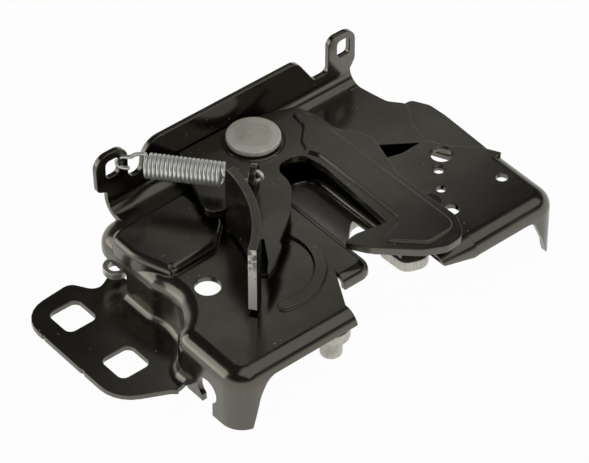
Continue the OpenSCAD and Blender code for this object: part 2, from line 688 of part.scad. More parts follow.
module pawl_rivet() color([0.7, 0.68, 0.64]) pivot_rivet(pawl_at, pawl_bush_z);
module pawl_spacer() color([0.6, 0.58, 0.5]) pivot_spacer(pawl_at);
module pawl_bush() color([0.6, 0.58, 0.5]) pivot_bush(pawl_at, pawl_bush_z);
module pawl_washer() color([0.65, 0.64, 0.6]) pivot_washer(pawl_at, pawl_bush_z);
module pawl_spring() color([0.62, 0.62, 0.6]) torsion_spring(pawl_at, lever_z - 4.2, 80, 250, 18, 20);

base_plate();
safety_catch();
catch_rivet();
catch_bush();
catch_washer();
catch_spring();
fork();
fork_rivet();
fork_spacer();
fork_bush();
fork_washer();
fork_spring();
fork_stop();
fork_buffer();
pawl();
release_lever();
pawl_stud();
pawl_rivet();
pawl_spacer();
pawl_bush();
pawl_washer();
pawl_spring();
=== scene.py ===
"""Looks of the bonnet latch: eased pressings, wound springs, finishes, studio and camera."""
import logging
import math
from dataclasses import dataclass, field
from enum import Enum
from typing import Callable, Iterable, Sequence

import bmesh
import bpy
from mathutils import Matrix, Quaternion, Vector
from mathutils.bvhtree import BVHTree


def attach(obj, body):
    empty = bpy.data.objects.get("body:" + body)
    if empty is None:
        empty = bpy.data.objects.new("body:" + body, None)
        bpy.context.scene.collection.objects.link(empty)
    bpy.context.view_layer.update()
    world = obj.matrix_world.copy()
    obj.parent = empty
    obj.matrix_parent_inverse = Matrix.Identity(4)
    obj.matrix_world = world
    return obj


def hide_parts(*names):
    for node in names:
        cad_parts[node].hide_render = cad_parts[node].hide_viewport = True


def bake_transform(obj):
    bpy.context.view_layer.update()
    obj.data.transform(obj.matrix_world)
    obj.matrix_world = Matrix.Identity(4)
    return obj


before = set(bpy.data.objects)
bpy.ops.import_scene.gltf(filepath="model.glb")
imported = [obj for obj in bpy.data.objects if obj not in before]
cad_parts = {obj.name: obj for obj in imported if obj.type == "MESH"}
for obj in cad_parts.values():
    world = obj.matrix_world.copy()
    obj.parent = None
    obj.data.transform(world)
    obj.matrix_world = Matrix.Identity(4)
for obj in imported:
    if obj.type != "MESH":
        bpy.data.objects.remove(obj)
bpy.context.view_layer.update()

LOG = logging.getLogger("bonnet_latch")
MM = 0.001
PHOTO_SIZE = (589, 463)
WEAR = "wear"

Colour = tuple[float, float, float]
Point = tuple[float, float, float]


class Slot(Enum):
    """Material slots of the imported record."""

    BLACK_COAT = "black_coat"
    CATCH_COAT = "catch_coat"
    RIVET = "rivet_steel"
    # near-black rivet steel: painted shade, so heads that sit in shadow stay unseen
    PAINTED_SHADE_RIVET = "dark_rivet"
    BUSH = "bush_steel"
    WIRE = "spring_wire"
    ZINC = "zinc_plate"
    RUBBER = "buffer_rubber"


class Rides(Enum):
    """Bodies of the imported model."""

    FRAME = "frame"
    CATCH = "catch"
    FORK = "fork"
    PAWL = "pawl"


def mm(point: Sequence[float]) -> Vector:
    """A point given in millimetres, in metres."""
    return Vector(point) * MM


class NodeSketch:
    """Short hand for filling one shader node tree."""

    def __init__(self, tree: bpy.types.NodeTree) -> None:
        """Keeps the tree that the nodes go into."""
        self.tree = tree

    def add(self, kind: str, **settings: object) -> bpy.types.Node:
        """Adds a node.

        Args:
            kind: the node's class name.
            settings: node properties by name.

        Returns:
            The new node.
        """
        node = self.tree.nodes.new(kind)
        for name, value in settings.items():
            setattr(node, name, value)
        return node

    def link(self, source: bpy.types.NodeSocket, target: bpy.types.NodeSocket) -> None:
        """Joins two sockets."""
        self.tree.links.new(source, target)

    def maths(self, operation: str, a: object, b: object = 0.0) -> bpy.types.NodeSocket:
        """A Math node.

        Args:
            operation: the node's operation.
            a: first socket or number.
            b: second socket or number.

        Returns:
            The value socket.
        """
        node = self.add("ShaderNodeMath", operation=operation)
        for index, value in enumerate((a, b)):
            if isinstance(value, bpy.types.NodeSocket):
                self.link(value, node.inputs[index])
            else:
                node.inputs[index].default_value = value
        return node.outputs["Value"]

    def ramp(self, value: bpy.types.NodeSocket, low: float, high: float,
             out: tuple[float, float] = (0.0, 1.0)) -> bpy.types.NodeSocket:
        """A clamped Map Range.

        Args:
            value: socket to map.
            low: input that gives the first output.
            high: input that gives the second output.
            out: the two outputs.

        Returns:
            The mapped value.
        """
        node = self.add("ShaderNodeMapRange", clamp=True, interpolation_type="SMOOTHSTEP")
        for name, number in (("From Min", low), ("From Max", high), ("To Min", out[0]), ("To Max", out[1])):
            node.inputs[name].default_value = number
        self.link(value, node.inputs["Value"])
        return node.outputs["Result"]

    def blend(self, factor: bpy.types.NodeSocket, a: object, b: object) -> bpy.types.NodeSocket:
        """A colour Mix.

        Args:
            factor: mix socket.
            a: colour or socket at factor 0.
            b: colour or socket at factor 1.

        Returns:
            The mixed colour.
        """
        node = self.add("ShaderNodeMix", data_type="RGBA")
        self.link(factor, node.inputs[0])
        for index, value in ((6, a), (7, b)):
            if isinstance(value, bpy.types.NodeSocket):
                self.link(value, node.inputs[index])
            else:
                node.inputs[index].default_value = (*value, 1.0)
        return node.outputs[2]

    def noise(self, vector: bpy.types.NodeSocket, scale: float, detail: float = 2.0,
              roughness: float = 0.5) -> bpy.types.NodeSocket:
        """A noise value.

        Args:
            vector: coordinates.
            scale: noise scale, per metre.
            detail: octaves.
            roughness: weight of the fine octaves.

        Returns:
            The noise socket.
        """
        node = self.add("ShaderNodeTexNoise")
        node.inputs["Scale"].default_value = scale
        node.inputs["Detail"].default_value = detail
        node.inputs["Roughness"].default_value = roughness
        self.link(vector, node.inputs["Vector"])
        return node.outputs["Fac"]


class Effects:
    """Shader node groups that the finishes share."""

    @staticmethod
    def _group(name: str, outputs: Iterable[str]) -> tuple[bpy.types.NodeTree, NodeSketch, bpy.types.Node]:
        """Starts a group with value outputs.

        Args:
            name: group name.
            outputs: names of its value outputs.

        Returns:
            The tree, a sketch on it and its output node.
        """
        tree = bpy.data.node_groups.new(name, "ShaderNodeTree")
        for socket in outputs:
            tree.interface.new_socket(name=socket, in_out="OUTPUT", socket_type="NodeSocketFloat")
        sketch = NodeSketch(tree)
        return tree, sketch, sketch.add("NodeGroupOutput")

    @classmethod
    def coat_grain(cls) -> bpy.types.NodeTree:
        """Fine unevenness of a dipped coat: bump height, cloudiness and dust specks."""
        tree, s, out = cls._group("coat_grain", ("Height", "Cloud", "Specks"))
        place = s.add("ShaderNodeTexCoord").outputs["Object"]
        fine = s.noise(place, 1400.0, 3.0, 0.6)
        broad = s.noise(place, 160.0, 2.0)
        s.link(s.maths("ADD", s.maths("MULTIPLY", fine, 0.35), s.maths("MULTIPLY", broad, 0.65)),
               out.inputs["Height"])
        s.link(s.noise(place, 38.0, 4.0, 0.62), out.inputs["Cloud"])
        cells = s.add("ShaderNodeTexVoronoi", feature="F1")
        cells.inputs["Scale"].default_value = 330.0
        s.link(place, cells.inputs["Vector"])
        dots = s.ramp(cells.outputs["Distance"], 0.15, 0.07)
        patches = s.ramp(s.noise(place, 110.0, 2.0), 0.56, 0.68)
        s.link(s.maths("MULTIPLY", dots, patches), out.inputs["Specks"])
        return tree

    @classmethod
    def metal_grain(cls) -> bpy.types.NodeTree:
        """Rolling lines, mottling and fine pits of plain and plated steel."""
        tree, s, out = cls._group("metal_grain", ("Lines", "Mottle", "Pits"))
        place = s.add("ShaderNodeTexCoord").outputs["Object"]
        turn = s.add("ShaderNodeMapping")
        turn.inputs["Rotation"].default_value = (0.0, 0.0, math.radians(35.0))
        turn.inputs["Scale"].default_value = (1.0, 26.0, 1.0)
        s.link(place, turn.inputs["Vector"])
        s.link(s.noise(turn.outputs["Vector"], 90.0, 4.0, 0.7), out.inputs["Lines"])
        s.link(s.noise(place, 120.0, 5.0, 0.65), out.inputs["Mottle"])
        s.link(s.noise(place, 1900.0, 2.0), out.inputs["Pits"])
        return tree

    @classmethod
    def wear_patches(cls) -> bpy.types.NodeTree:
        """Rubbed coat and ragged rub-through, from the piece's wear attribute broken up by noise."""
        tree, s, out = cls._group("wear_patches", ("Mask", "Rub"))
        place = s.add("ShaderNodeTexCoord").outputs["Object"]
        amount = s.add("ShaderNodeAttribute", attribute_name=WEAR).outputs["Fac"]
        ragged = s.maths("MULTIPLY", s.maths("SUBTRACT", s.noise(place, 420.0, 4.0, 0.7), 0.5), 0.9)
        s.link(s.ramp(s.maths("ADD", amount, ragged), 0.42, 0.58), out.inputs["Mask"])
        s.link(s.ramp(amount, 0.02, 0.2), out.inputs["Rub"])
        return tree


@dataclass(frozen=True)
class Finish:
    """A named finish with its plain shader values."""

    slot: Slot
    colour: Colour
    roughness: float
    metallic: float = 1.0
    ior: float = 1.5
    bump: float = 0.1
    sheen: Colour = (1.0, 1.0, 1.0)

    def material(self) -> bpy.types.Material:
        """Makes the material.

        Returns:
            The material with its Principled BSDF and surface detail.
        """
        made = bpy.data.materials.new(self.slot.value + "_finish")
        made.use_nodes = True
        made.node_tree.nodes.clear()
        s = NodeSketch(made.node_tree)
        shader = s.add("ShaderNodeBsdfPrincipled")
        shader.inputs["Metallic"].default_value = self.metallic
        shader.inputs["IOR"].default_value = self.ior
        shader.inputs["Specular Tint"].default_value = (*self.sheen, 1.0)
        self.dress(s, shader)
        s.link(shader.outputs["BSDF"], s.add("ShaderNodeOutputMaterial").inputs["Surface"])
        made.diffuse_color = (*self.colour, 1.0)
        return made

    def dress(self, s: NodeSketch, shader: bpy.types.Node) -> None:
        """Links colour, roughness and bump; each kind of finish has its own."""
        raise NotImplementedError

    def raise_bump(self, s: NodeSketch, shader: bpy.types.Node, height: bpy.types.NodeSocket,
                   distance: float) -> None:
        """Feeds a height into the shader's normal.

        Args:
            s: sketch of the material's tree.
            shader: the Principled BSDF.
            height: height socket.
            distance: bump distance in metres.
        """
        bump = s.add("ShaderNodeBump")
        bump.inputs["Strength"].default_value = self.bump
        bump.inputs["Distance"].default_value = distance
        s.link(height, bump.inputs["Height"])
        s.link(bump.outputs["Normal"], shader.inputs["Normal"])


@dataclass(frozen=True)
class CoatFinish(Finish):
    """Semi-gloss black dip coat, with dust and, where the piece is rubbed, bare steel."""

    worn: bool = False
    cloudy: Colour = (0.009, 0.0076, 0.0052)
    dust: Colour = (0.42, 0.41, 0.38)
    rubbed: Colour = (0.05, 0.048, 0.042)
    bare: Colour = (0.8, 0.78, 0.73)

    def dress(self, s: NodeSketch, shader: bpy.types.Node) -> None:
        """Links the coat's colour, gloss and unevenness."""
        grain = s.add("ShaderNodeGroup", node_tree=bpy.data.node_groups["coat_grain"])
        cloud = s.ramp(grain.outputs["Cloud"], 0.35, 0.7)
        colour = s.blend(cloud, self.colour, self.cloudy)
        colour = s.blend(s.maths("MULTIPLY", grain.outputs["Specks"], 0.85), colour, self.dust)
        rough = s.ramp(grain.outputs["Cloud"], 0.3, 0.75, (self.roughness - 0.04, self.roughness + 0.07))
        if self.worn:
            patches = s.add("ShaderNodeGroup", node_tree=bpy.data.node_groups["wear_patches"])
            colour = s.blend(patches.outputs["Rub"], colour, self.rubbed)
            colour = s.blend(patches.outputs["Mask"], colour, self.bare)
            matt = s.maths("MULTIPLY", s.maths("MAXIMUM", patches.outputs["Rub"], patches.outputs["Mask"]), 0.22)
            rough = s.maths("ADD", rough, matt)
            s.link(s.maths("MULTIPLY", patches.outputs["Mask"], 0.25), shader.inputs["Metallic"])
        s.link(colour, shader.inputs["Base Color"])
        s.link(rough, shader.inputs["Roughness"])
        self.raise_bump(s, shader, grain.outputs["Height"], 0.00012)


@dataclass(frozen=True)
class SteelFinish(Finish):
    """Plain, plated or drawn steel: mottled, with fine lines and pits, and where asked a painted shade in a rivet
    head's middle.
    """

    shade: Colour = (0.3, 0.29, 0.26)
    lines: float = 0.4
    mottle: float = 0.5
    # centre x, y and radius in millimetres of a disc of painted shade on a rivet head
    dish_shade: Point | None = None

    def dress(self, s: NodeSketch, shader: bpy.types.Node) -> None:
        """Links the metal's colour, satin and grain."""
        grain = s.add("ShaderNodeGroup", node_tree=bpy.data.node_groups["metal_grain"])
        stain = s.maths("MULTIPLY", s.ramp(grain.outputs["Mottle"], 0.42, 0.72), self.mottle)
        streak = s.maths("MULTIPLY", s.ramp(grain.outputs["Lines"], 0.4, 0.75), self.lines)
        tone = s.maths("ADD", stain, streak)
        # painted shade: darkens the middle of the rivet head
        if self.dish_shade is not None:
            tone = s.maths("ADD", tone, self.paint_dish_shade(s))
        tone = s.maths("MINIMUM", tone, 1.0)
        s.link(s.blend(tone, self.colour, self.shade), shader.inputs["Base Color"])
        s.link(s.ramp(grain.outputs["Mottle"], 0.3, 0.75, (self.roughness - 0.06, self.roughness + 0.1)),
               shader.inputs["Roughness"])
        height = s.maths("ADD", s.maths("MULTIPLY", grain.outputs["Lines"], self.lines),
                         s.maths("MULTIPLY", grain.outputs["Pits"], 0.5))
        self.raise_bump(s, shader, height, 0.0001)

    def paint_dish_shade(self, s: NodeSketch) -> bpy.types.NodeSocket:
        """Painted shade: a darker round middle standing in for the shade in a pressed rivet head's dish.

        Args:
            s: sketch of the material's tree.

        Returns:
            Painted shade from 0 at the rim to a part of 1 in the middle.
        """
        x, y, radius = self.dish_shade
        flat = s.add("ShaderNodeVectorMath", operation="MULTIPLY")
        flat.inputs[1].default_value = (1.0, 1.0, 0.0)
        s.link(s.add("ShaderNodeTexCoord").outputs["Object"], flat.inputs[0])
        away = s.add("ShaderNodeVectorMath", operation="DISTANCE")
        away.inputs[1].default_value = mm((x, y, 0.0))
        s.link(flat.outputs["Vector"], away.inputs[0])
        return s.ramp(away.outputs["Value"], radius * 0.8 * MM, radius * MM, (0.45, 0.0))


@dataclass(frozen=True)
class RubberFinish(Finish):
    """Matt black rubber with a faint bloom."""

    bloom: Colour = (0.05, 0.05, 0.048)

    def dress(self, s: NodeSketch, shader: bpy.types.Node) -> None:
        """Links the rubber's colour and fine grain."""
        grain = s.add("ShaderNodeGroup", node_tree=bpy.data.node_groups["coat_grain"])
        s.link(s.blend(grain.outputs["Cloud"], self.colour, self.bloom), shader.inputs["Base Color"])
        s.link(s.ramp(grain.outputs["Cloud"], 0.2, 0.8, (self.roughness - 0.05, self.roughness + 0.05)),
               shader.inputs["Roughness"])
        self.raise_bump(s, shader, grain.outputs["Height"], 0.0002)


OLIVE: Colour = (1.0, 0.94, 0.78)

FINISHES: tuple[Finish, ...] = (
    CoatFinish(Slot.BLACK_COAT, (0.005, 0.004, 0.0026), 0.19, metallic=0.0, ior=2.05, bump=0.2, sheen=OLIVE),
    CoatFinish(Slot.CATCH_COAT, (0.006, 0.005, 0.0034), 0.2, metallic=0.0, ior=2.05, bump=0.22, sheen=OLIVE,
               worn=True),
    # the rivet's disc setting paints shade into the middle of its head
    SteelFinish(Slot.RIVET, (0.95, 0.91, 0.82), 0.48, metallic=0.35, bump=0.2, shade=(0.66, 0.62, 0.54), lines=0.15,
                mottle=0.5, dish_shade=(-4.3, 25.8, 8.5)),
    # near-black rivet steel as painted shade for the heads that sit in shadow
    SteelFinish(Slot.PAINTED_SHADE_RIVET, (0.07, 0.068, 0.062), 0.45, bump=0.2, shade=(0.04, 0.04, 0.037), lines=0.0),
    SteelFinish(Slot.BUSH, (0.4, 0.385, 0.35), 0.4, bump=0.15, shade=(0.28, 0.27, 0.24)),
    SteelFinish(Slot.WIRE, (0.8, 0.8, 0.76), 0.34, metallic=0.75, bump=0.06, shade=(0.6, 0.6, 0.57), lines=0.1),
    SteelFinish(Slot.ZINC, (0.58, 0.56, 0.5), 0.42, metallic=0.75, bump=0.25, shade=(0.34, 0.32, 0.27), lines=0.7),
    RubberFinish(Slot.RUBBER, (0.02, 0.02, 0.02), 0.7, metallic=0.0, bump=0.3),
)


class Wardrobe:
    """The finishes' materials, by slot."""

    def __init__(self) -> None:
        """Builds the shared groups and every material once."""
        Effects.coat_grain()
        Effects.metal_grain()
        Effects.wear_patches()
        self.materials = {finish.slot: finish.material() for finish in FINISHES}

    def put_on(self, piece: bpy.types.Object, slot: Slot) -> None:
        """Gives a piece its one finish.

        Args:
            piece: the object.
            slot: finish to take.
        """
        piece.data.materials.clear()
        piece.data.materials.append(self.materials[slot])


@dataclass(frozen=True)
class Soften:
    """A larger rounding for the edges inside one box, sizes in millimetres."""

    low: Point
    high: Point
    radius: float
    segments: int = 4
    angle_deg: float = 25.0
    upright: bool = False

    def takes(self, edge: bmesh.types.BMEdge) -> bool:
        """True if both ends of the edge are in the box and, where asked, it stands upright."""
        ends = edge.verts
        if self.upright and (ends[0].co - ends[1].co).to_2d().length > 0.2 * edge.calc_length():
            return False
        return all(lo - 1e-3 <= c / MM <= hi + 1e-3 for v in edge.verts
                   for c, lo, hi in zip(v.co, self.low, self.high))


@dataclass(frozen=True)
class Block:
    """A flat outline pushed straight through space, joined to or cut from a pressing, in millimetres."""

    outline: tuple[Point, ...]
    push: Point
    joined: bool = True
    eased: Soften | None = None

    def build(self) -> bpy.types.Object:
        """Makes the closed block as a helper object.

        Returns:
            The helper, linked to the scene.
        """
        mesh = bmesh.new()
        corners = [mesh.verts.new(mm(point)) for point in self.outline]
        face = bmesh.ops.contextual_create(mesh, geom=corners)["faces"]
        made = bmesh.ops.extrude_face_region(mesh, geom=face, use_keep_orig=True)["geom"]
        bmesh.ops.translate(mesh, verts=[g for g in made if isinstance(g, bmesh.types.BMVert)], vec=mm(self.push))
        bmesh.ops.recalc_face_normals(mesh, faces=mesh.faces)
        if self.eased is not None:
            edges = [edge for edge in mesh.edges if self.eased.takes(edge)]
            bmesh.ops.bevel(mesh, geom=edges, offset=self.eased.radius * MM, offset_type="OFFSET",
                            segments=self.eased.segments, profile=0.5, affect="EDGES", material=-1)
        data = bpy.data.meshes.new("helper")
        mesh.to_mesh(data)
        mesh.free()
        helper = bpy.data.objects.new("helper", data)
        bpy.context.scene.collection.objects.link(helper)
        return helper


@dataclass
class Pressing:
    """A CAD node's own form with its edges rounded, as a shown piece."""

    node: str
    body: Rides
    slot: Slot
    ease: float = 0.3
    softened: tuple[Soften, ...] = ()
    wear: Callable[[Vector, Vector], float] | None = None
    blocks: tuple[Block, ...] = ()
    name: str = field(init=False)

    SHARP = math.radians(28.0)

    def __post_init__(self) -> None:
        """Names the piece after its node."""
        self.name = self.node + "_piece"

    def sharp_edges(self, mesh: bmesh.types.BMesh, angle: float) -> list[bmesh.types.BMEdge]:
        """Edges whose faces meet at more than an angle, in radians."""
        return [e for e in mesh.edges if len(e.link_faces) == 2 and e.calc_face_angle(0.0) > angle]

    @staticmethod
    def round_edges(mesh: bmesh.types.BMesh, edges: list[bmesh.types.BMEdge], radius: float,
                    segments: int) -> None:
        """Bevels edges in place.

        Args:
            mesh: mesh to change.
            edges: edges to round.
            radius: offset in millimetres.
            segments: facets across the rounding.
        """
        before = BVHTree.FromBMesh(mesh)
        bmesh.ops.bevel(mesh, geom=edges, offset=radius * MM, offset_type="OFFSET", segments=segments,
                        profile=0.5, affect="EDGES", clamp_overlap=False, material=-1,
                        miter_outer="SHARP", miter_inner="SHARP")
        for vertex in mesh.verts:
            near, _, _, distance = before.find_nearest(vertex.co)
            if distance > 0.45 * radius * MM:
                vertex.co = near

    def reshape(self, mesh: bmesh.types.BMesh) -> None:
        """Joins and cuts the piece's blocks, in order.

        Args:
            mesh: mesh to change.
        """
        data = bpy.data.meshes.new("raw")
        mesh.to_mesh(data)
        raw = bpy.data.objects.new("raw", data)
        bpy.context.scene.collection.objects.link(raw)
        helpers = [block.build() for block in self.blocks]
        for block, helper in zip(self.blocks, helpers):
            step = raw.modifiers.new("step", "BOOLEAN")
            step.operation = "UNION" if block.joined else "DIFFERENCE"
            step.solver = "EXACT"
            step.object = helper
        shaped = bpy.data.meshes.new_from_object(raw.evaluated_get(bpy.context.evaluated_depsgraph_get()))
        mesh.clear()
        mesh.from_mesh(shaped)
        for thing in (raw, *helpers):
            bpy.data.meshes.remove(thing.data)
        bpy.data.meshes.remove(shaped)

    def build(self, wardrobe: Wardrobe) -> bpy.types.Object:
        """Copies the node's mesh, merges it, rounds its edges and dresses it.

        Args:
            wardrobe: source of the materials.

        Returns:
            The finished piece.
        """
        mesh = bmesh.new()
        mesh.from_mesh(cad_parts[self.node].data)
        bmesh.ops.remove_doubles(mesh, verts=mesh.verts, dist=2e-6)
        if self.blocks:
            self.reshape(mesh)
            bmesh.ops.remove_doubles(mesh, verts=mesh.verts, dist=2e-6)
        bmesh.ops.dissolve_limit(mesh, angle_limit=math.radians(0.5), verts=mesh.verts, edges=mesh.edges)
        for rule in self.softened:
            picked = [e for e in self.sharp_edges(mesh, math.radians(rule.angle_deg)) if rule.takes(e)]
            self.round_edges(mesh, picked, rule.radius, rule.segments)
        if self.ease > 0:
            self.round_edges(mesh, self.sharp_edges(mesh, self.SHARP), self.ease, 2)
        for face in mesh.faces:
            face.smooth = True
        data = bpy.data.meshes.new(self.name)
        mesh.to_mesh(data)
        mesh.free()
        piece = bpy.data.objects.new(self.name, data)
        bpy.context.scene.collection.objects.link(piece)
        if self.wear is not None:
            self.mark_wear(data)
        weighted = piece.modifiers.new("flat_faces", "WEIGHTED_NORMAL")
        weighted.weight = 60
        wardrobe.put_on(piece, self.slot)
        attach(piece, self.body.value)
        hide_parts(self.node)
        LOG.info("%s: %d faces", self.name, len(data.polygons))
        return piece

    def mark_wear(self, data: bpy.types.Mesh) -> None:
        """Writes the wear attribute from the piece's own rule.

        Args:
            data: mesh to mark.
        """
        layer = data.attributes.new(WEAR, "FLOAT", "POINT")
        for vertex in data.vertices:
            layer.data[vertex.index].value = self.wear(vertex.co / MM, vertex.normal)


@dataclass
class WoundSpring:
    """Close-wound extension spring between two points, sizes in millimetres."""

    node: str = "catch_spring"
    start: Point = (-58.6, 38.8, 48.4)
    end: Point = (-25.9, -0.7, 48.4)
    wire: float = 1.7
    outside: float = 10.6
    coils: int = 19
    steps: int = 28
    sides: int = 10

    def build(self, wardrobe: Wardrobe) -> bpy.types.Object:
        """Winds the coil and bends its two end hooks.

        Args:
            wardrobe: source of the materials.

        Returns:
            The finished spring.
        """
        radius = (self.outside - self.wire) / 2
        run = Vector(self.end) - Vector(self.start)
        coil = self.coils * self.wire
        first = (run.length - coil) / 2 - 1.8
        mesh = bmesh.new()
        ring = bmesh.ops.create_circle(mesh, segments=self.sides, radius=self.wire / 2)["verts"]
        bmesh.ops.rotate(mesh, verts=ring, cent=(0, 0, 0), matrix=Matrix.Rotation(math.radians(90), 3, "X"))
        bmesh.ops.translate(mesh, verts=ring, vec=(radius, 0, first + self.wire / 2))
        turns = self.coils - 1
        steps = turns * self.steps
        loop = list({e for v in ring for e in v.link_edges})
        made = bmesh.ops.spin(mesh, geom=ring + loop, cent=(0, 0, 0), axis=(0, 0, 1),
                              dvec=(0, 0, (coil - self.wire) / steps), angle=turns * 2 * math.pi, steps=steps)
        last = [g for g in made["geom_last"] if isinstance(g, bmesh.types.BMEdge)]
        self.bend(mesh, loop, ((radius, 0, first + self.wire / 2), (0, -1, 0)), (
            (radius - 0.4, -2.0, first - 0.4), (radius - 0.6, -1.2, first - 4.0), (radius - 1.0, 0.0, 2.2),
            (radius - 1.6, 0.0, -1.6), (radius - 3.2, 0.2, -3.4), (radius - 5.6, 0.4, -3.2),
            (radius - 6.6, 0.4, -1.2), (radius - 6.6, 0.4, 1.6)))
        far = first + coil - self.wire / 2
        self.bend(mesh, last, ((radius, 0, far), (0, 1, 0)), (
            (radius - 0.6, 2.6, far + 0.7), (1.2, 3.0, far + 1.4), (-1.6, 0.8, far + 2.6),
            (-1.4, 0.0, run.length - 1.0), (-0.6, 0.0, run.length + 2.4), (1.4, 0.0, run.length + 3.4),
            (3.4, 0.0, run.length + 2.2), (4.0, 0.0, run.length - 0.4)))
        across = run.normalized()
        up = Vector((0, 0, 1))
        turn = Matrix((up, across.cross(up), across)).transposed()
        bmesh.ops.transform(mesh, matrix=Matrix.Translation(Vector(self.start)) @ turn.to_4x4(), verts=mesh.verts)
        bmesh.ops.scale(mesh, vec=(MM, MM, MM), verts=mesh.verts)
        bmesh.ops.recalc_face_normals(mesh, faces=mesh.faces)
        for face in mesh.faces:
            face.smooth = True
        data = bpy.data.meshes.new("catch_spring_wire")
        mesh.to_mesh(data)
        mesh.free()
        piece = bpy.data.objects.new("catch_spring_wire", data)
        bpy.context.scene.collection.objects.link(piece)
        wardrobe.put_on(piece, Slot.WIRE)
        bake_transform(piece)
        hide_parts(self.node)
        LOG.info("catch_spring_wire: %d faces", len(data.polygons))
        return piece

    def bend(self, mesh: bmesh.types.BMesh, loop: list[bmesh.types.BMEdge], start: tuple[Point, Point],
             route: Sequence[Point]) -> None:
        """Draws the wire on from one end ring along a route and closes it.

        Args:
            mesh: mesh to extend.
            loop: edges of the end ring.
            start: the ring's centre and its outward direction.
            route: points that the wire's centre passes.
        """
        centre, heading = Vector(start[0]), Vector(start[1]).normalized()
        points = [centre] + [Vector(p) for p in route]
        fine: list[Vector] = []
        for i in range(len(points) - 1):
            a, b = points[max(i - 1, 0)], points[i]
            c, d = points[i + 1], points[min(i + 2, len(points) - 1)]
            for k in range(1, 6):
                t = k / 5
                fine.append(0.5 * (2 * b + (c - a) * t + (2 * a - 5 * b + 4 * c - d) * t * t
                                   + (3 * b - a - 3 * c + d) * t ** 3))
        for i, point in enumerate(fine):
            ahead = fine[min(i + 1, len(fine) - 1)]
            behind = fine[i - 1] if i else centre
            direction = (ahead - behind).normalized()
            made = bmesh.ops.extrude_edge_only(mesh, edges=loop)["geom"]
            verts = [g for g in made if isinstance(g, bmesh.types.BMVert)]
            middle = sum((v.co for v in verts), Vector()) / len(verts)
            bmesh.ops.rotate(mesh, verts=verts, cent=middle,
                             matrix=heading.rotation_difference(direction).to_matrix())
            bmesh.ops.translate(mesh, verts=verts, vec=point - middle)
            loop = [g for g in made if isinstance(g, bmesh.types.BMEdge)]
            heading = direction
        bmesh.ops.contextual_create(mesh, geom=loop)


@dataclass
class Body:
    """The pressed body."""

    softened: tuple[Soften, ...] = (
        Soften((-79.1, -9, 31.9), (-37, 28, 32.1), 3.0, 6),
        Soften((33, -30, 29.9), (69.6, -9, 30.1), 0.9, 4),
    )
    shoulder: tuple[tuple[float, float], ...] = (
        (-78.9, 13.0), (-78.9, 20.5), (-78.2, 23.0), (-76.5, 24.8), (-74.0, 25.6), (-64.0, 25.8), (-60.0, 20.0),
        (-60.0, 6.0), (-69.0, -5.0), (-72.8, -6.8), (-73.9, -4.5), (-75.1, -1.5), (-76.3, 2.0), (-77.4, 5.2),
        (-78.2, 8.0), (-78.7, 10.5))
    shoulder_z: tuple[float, float] = (23.0, 32.0)
    ear_root: tuple[tuple[float, float], ...] = (
        (-84.0, 25.6), (-81.0, 26.6), (-77.5, 28.4), (-72.5, 28.2), (-72.5, 20.0), (-77.5, 12.0), (-84.0, 17.0))
    ear_z: tuple[float, float] = (3.5, 6.0)
    wing_front: tuple[tuple[float, float], ...] = (
        (13.2, 27.2), (28.5, 22.5), (30.5, 22.5), (30.5, 30.0), (13.2, 30.0))
    mouth: tuple[tuple[float, float], ...] = (
        (3.0, 18.0), (3.0, 34.0), (13.4, 34.0), (13.4, 27.4), (28.5, 22.7), (28.5, 18.0))

    def build(self, wardrobe: Wardrobe) -> None:
        """Builds the body's one pressing."""
        low, high = self.shoulder_z
        blocks = (
            Block(tuple((x, -75.0, z) for x, z in self.mouth), (0.0, 23.0, 0.0), joined=False),
            Block(tuple((x, -70.0, z) for x, z in self.wing_front), (0.0, 13.0, 0.0),
                  eased=Soften((13, -70.1, 29.9), (31, -69.9, 30.1), 7.0, 10)),
            Block(tuple((x, y, low) for x, y in self.shoulder), (0.0, 0.0, high - low)),
            Block(tuple((x, y, self.ear_z[0]) for x, y in self.ear_root), (0.0, 0.0, self.ear_z[1] - self.ear_z[0])),
        )
        Pressing("base_plate", Rides.FRAME, Slot.BLACK_COAT, 0.35, self.softened, blocks=blocks).build(wardrobe)


@dataclass
class SafetyCatch:
    """The catch with its pivot and spring."""

    softened: tuple[Soften, ...] = (
        Soften((-6, -67, 39.6), (26, 30, 39.8), 0.8, 4),
    )
    paddle_at: tuple[float, float] = (-97.5, 4.5)
    paddle_r: tuple[float, float] = (57.5, 62.0)
    paddle_top: float = 61.0
    paddle_end_deg: float = -53.1

    def rubbed(self, place: Vector, normal: Vector) -> float:
        """Wear of the catch at one point: the paddle's upper and free edges are rubbed bare.

        Args:
            place: point in millimetres.
            normal: outward normal there.

        Returns:
            Wear from 0 to 1.
        """
        out = place.to_2d() - Vector(self.paddle_at)
        angle = math.degrees(math.atan2(out.y, out.x))
        if not self.paddle_r[0] < out.length < self.paddle_r[1] or angle > -3.0:
            return 0.0
        if angle < self.paddle_end_deg + 0.1:
            return 0.45 if place.z > 54.0 else 0.8
        if place.z > self.paddle_top - 0.2:
            return 0.12 if normal.z > 0.95 else 0.4
        return 0.0

    def build(self, wardrobe: Wardrobe) -> None:
        """Builds the catch plate, its rivet, bush, washer and spring."""
        Pressing("safety_catch", Rides.CATCH, Slot.CATCH_COAT, 0.3, self.softened, self.rubbed).build(wardrobe)
        Pressing("catch_rivet", Rides.FRAME, Slot.RIVET, 0.5).build(wardrobe)
        Pressing("catch_bush", Rides.FRAME, Slot.BUSH, 0.2).build(wardrobe)
        Pressing("catch_washer", Rides.FRAME, Slot.BUSH, 0.15).build(wardrobe)
        WoundSpring().build(wardrobe)


